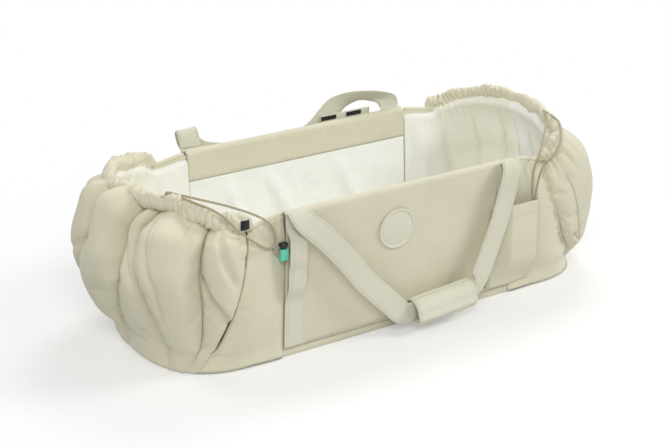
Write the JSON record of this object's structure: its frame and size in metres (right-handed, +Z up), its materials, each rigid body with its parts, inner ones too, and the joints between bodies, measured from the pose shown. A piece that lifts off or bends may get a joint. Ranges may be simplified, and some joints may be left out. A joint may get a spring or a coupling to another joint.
{
  "type": "baby sleep carrier",
  "caption": "Soft lie-flat baby carrier with two stiff padded sides, gathered draw-cord ends, a flat base with a mattress and a carry handle on each side.",
  "frame": {"origin": "on the floor under the middle of the base", "axes": "+X along the length towards the end on the right in the picture, -Y out of the front wall with the badge, +Z up"},
  "size_m": [0.8028, 0.3584, 0.2512],
  "materials": {
    "stone_cloth": "matt woven cotton",
    "pale_webbing": "matt woven webbing",
    "ivory_lining": "soft matt cotton",
    "white_air_mesh": "open knitted mesh",
    "stiff_board": "matt board",
    "grey_foam": "open foam",
    "mint_plastic": "satin moulded plastic",
    "black_plastic": "matt moulded plastic",
    "black_hook_tape": "hook tape",
    "spring_steel": "bright wire",
    "badge_stone": "soft satin, blank",
    "black_label": "woven tape, blank"
  },
  "bodies": {
    "carrier": {"base_cover": "stone_cloth", "front_left_side_panel": "stone_cloth", "front_right_side_panel": "stone_cloth", "rear_left_side_panel": "stone_cloth", "rear_right_side_panel": "stone_cloth", "front_wall_cover": "stone_cloth", "rear_wall_cover": "stone_cloth", "left_end_shell": "stone_cloth", "right_end_shell": "stone_cloth", "left_hem_channel": "stone_cloth", "right_hem_channel": "stone_cloth", "front_left_anchor_strap": "pale_webbing", "front_right_anchor_strap": "pale_webbing", "rear_left_anchor_strap": "pale_webbing", "rear_right_anchor_strap": "pale_webbing", "front_right_pocket": "pale_webbing", "left_hem_cord": "pale_webbing", "right_hem_cord": "pale_webbing", "left_draw_cord": "pale_webbing", "right_draw_cord": "pale_webbing", "left_cord_eyelet": "pale_webbing", "right_cord_eyelet": "pale_webbing", "base_lining": "ivory_lining", "mattress": "ivory_lining", "left_end_lining": "ivory_lining", "right_end_lining": "ivory_lining", "front_wall_lining": "white_air_mesh", "rear_wall_lining": "white_air_mesh", "base_board": "stiff_board", "front_wall_board": "stiff_board", "rear_wall_board": "stiff_board", "front_wall_foam": "grey_foam", "rear_wall_foam": "grey_foam", "badge": "badge_stone", "label": "black_label"},
    "front_handle": {"front_handle_strap": "pale_webbing", "front_grip_sleeve": "pale_webbing", "front_hook_tape": "black_hook_tape"},
    "front_flap": {"front_grip_flap": "pale_webbing"},
    "rear_handle": {"rear_handle_strap": "pale_webbing", "rear_grip_sleeve": "pale_webbing", "rear_left_hook_tape": "black_hook_tape", "rear_right_hook_tape": "black_hook_tape"},
    "rear_flap": {"rear_grip_flap": "pale_webbing"},
    "left_lock": {"left_cord_lock": "mint_plastic", "left_lock_spring": "spring_steel"},
    "left_plunger": {"left_lock_plunger": "black_plastic"},
    "right_lock": {"right_cord_lock": "mint_plastic", "right_lock_spring": "spring_steel"},
    "right_plunger": {"right_lock_plunger": "black_plastic"}
  },
  "joints": [
    {"name": "front_handle_swing", "type": "hinge", "parent": "carrier", "child": "front_handle", "pos_m": [0, -0.15, 0.216], "axis": [-1, 0, 0], "range_deg": [0, 188]},
    {"name": "front_flap_turn", "type": "hinge", "parent": "front_handle", "child": "front_flap", "pos_m": [0.04922, -0.16303, 0.05293], "axis": [-0.9976, 0, -0.0691], "range_deg": [0, 130]},
    {"name": "rear_handle_swing", "type": "hinge", "parent": "carrier", "child": "rear_handle", "pos_m": [0, 0.15, 0.216], "axis": [1, 0, 0], "range_deg": [0, 80]},
    {"name": "rear_flap_turn", "type": "hinge", "parent": "rear_handle", "child": "rear_flap", "pos_m": [0.101, 0.1701, 0.1771], "axis": [-1, 0, 0], "range_deg": [0, 110]},
    {"name": "left_lock_slide", "type": "slide", "parent": "carrier", "child": "left_lock", "axis": [1, 0, 0], "range_m": [0, 0.008]},
    {"name": "left_plunger_press", "type": "slide", "parent": "left_lock", "child": "left_plunger", "axis": [0, 0, -1], "range_m": [0, 0.003], "stiffness_N_per_m": 400, "springref_m": -0.002, "deforming": ["left_lock_spring"]},
    {"name": "right_lock_slide", "type": "slide", "parent": "carrier", "child": "right_lock", "axis": [-1, 0, 0], "range_m": [0, 0.008]},
    {"name": "right_plunger_press", "type": "slide", "parent": "right_lock", "child": "right_plunger", "axis": [0, 0, -1], "range_m": [0, 0.003], "stiffness_N_per_m": 400, "springref_m": -0.002, "deforming": ["right_lock_spring"]}
  ]
}
